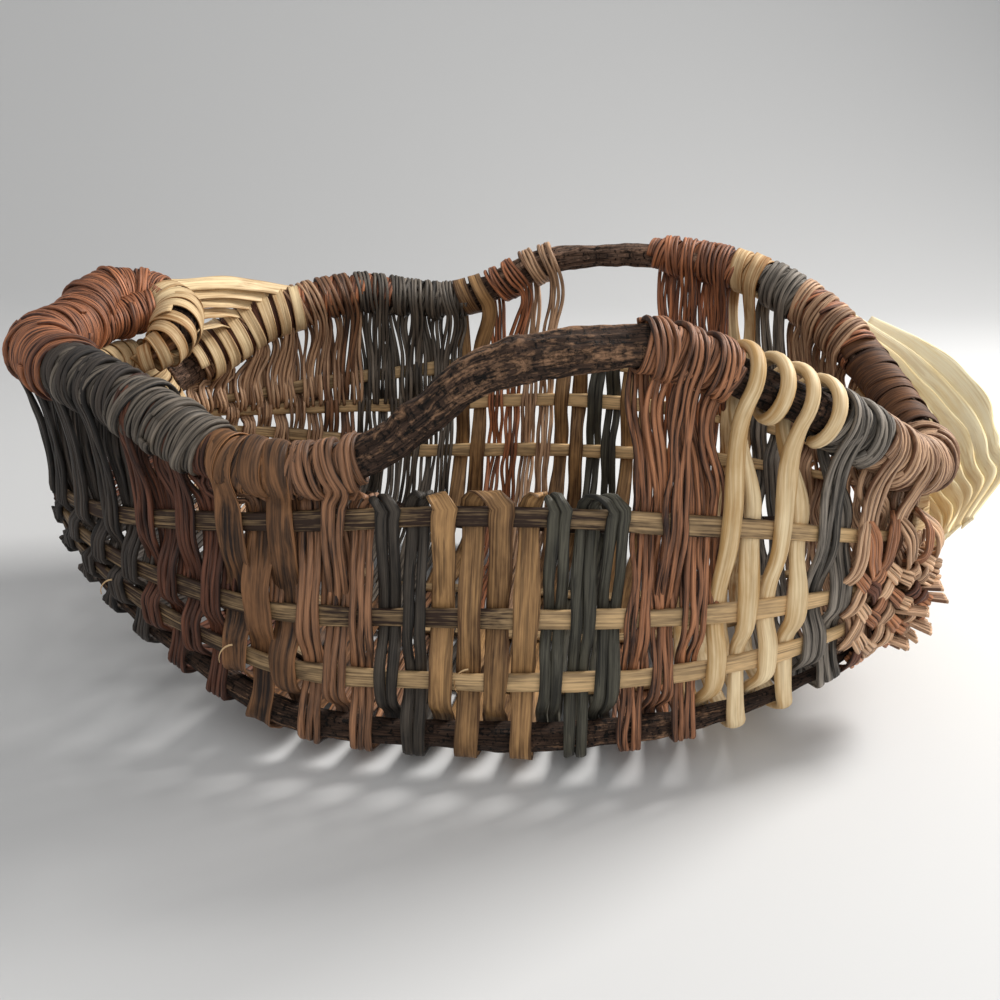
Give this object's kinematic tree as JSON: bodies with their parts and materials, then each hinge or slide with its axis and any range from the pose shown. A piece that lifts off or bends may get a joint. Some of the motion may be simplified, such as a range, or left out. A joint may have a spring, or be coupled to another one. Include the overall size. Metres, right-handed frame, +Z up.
{
  "type": "gathering basket",
  "caption": "Long oval gathering basket in the ribbed style, with bark-covered rim branches, a bare handle on each long side and a curled end.",
  "frame": {"origin": "on the floor under the middle of the whole basket", "axes": "+X along the basket towards the flared end, -Y towards the side seen in front, +Z up"},
  "size_m": [0.5104, 0.3428, 0.2162],
  "materials": {
    "front_rib_1": "split reed, matt",
    "front_rib_2": "split reed, matt",
    "front_rib_3": "split reed, matt",
    "front_base_branch": "rough bark",
    "front_floor_rib": "split reed, matt",
    "keel_rib": "split reed, matt",
    "back_floor_rib": "split reed, matt",
    "back_base_branch": "rough bark",
    "back_rib_3": "split reed, matt",
    "back_rib_2": "split reed, matt",
    "back_rib_1": "split reed, matt",
    "front_rim_branch": "rough bark",
    "back_rim_branch": "rough bark",
    "charcoal_weaver_left": "dyed and natural splints, matt",
    "russet_weaver_left": "dyed and natural splints, matt",
    "umber_weaver": "dyed and natural splints, matt",
    "charcoal_weaver_middle": "dyed and natural splints, matt",
    "honey_weaver": "dyed and natural splints, matt",
    "bottle_weaver": "dyed and natural splints, matt",
    "rose_weaver": "dyed and natural splints, matt",
    "cream_weaver": "dyed and natural splints, matt",
    "slate_weaver_right": "dyed and natural splints, matt",
    "russet_weaver_right": "dyed and natural splints, matt",
    "russet_roll_binding": "wound splints, matt",
    "tan_roll_binding": "wound splints, matt",
    "front_tip_binding": "wound splints, matt",
    "back_tip_binding": "wound splints, matt",
    "curled_ear": "woven natural splints, matt",
    "flared_ear": "woven natural splints, matt",
    "flared_fan": "flat natural splints, satin"
  },
  "bodies": {
    "root": {"front_rib_1": "front_rib_1", "front_rib_2": "front_rib_2", "front_rib_3": "front_rib_3", "front_base_branch": "front_base_branch", "front_floor_rib": "front_floor_rib", "keel_rib": "keel_rib", "back_floor_rib": "back_floor_rib", "back_base_branch": "back_base_branch", "back_rib_3": "back_rib_3", "back_rib_2": "back_rib_2", "back_rib_1": "back_rib_1", "front_rim_branch": "front_rim_branch", "back_rim_branch": "back_rim_branch", "charcoal_weaver_left": "charcoal_weaver_left", "russet_weaver_left": "russet_weaver_left", "umber_weaver": "umber_weaver", "charcoal_weaver_middle": "charcoal_weaver_middle", "honey_weaver": "honey_weaver", "bottle_weaver": "bottle_weaver", "rose_weaver": "rose_weaver", "cream_weaver": "cream_weaver", "slate_weaver_right": "slate_weaver_right", "russet_weaver_right": "russet_weaver_right", "russet_roll_binding": "russet_roll_binding", "tan_roll_binding": "tan_roll_binding", "front_tip_binding": "front_tip_binding", "back_tip_binding": "back_tip_binding", "curled_ear": "curled_ear", "flared_ear": "flared_ear", "flared_fan": "flared_fan"}
  },
  "joints": []
}
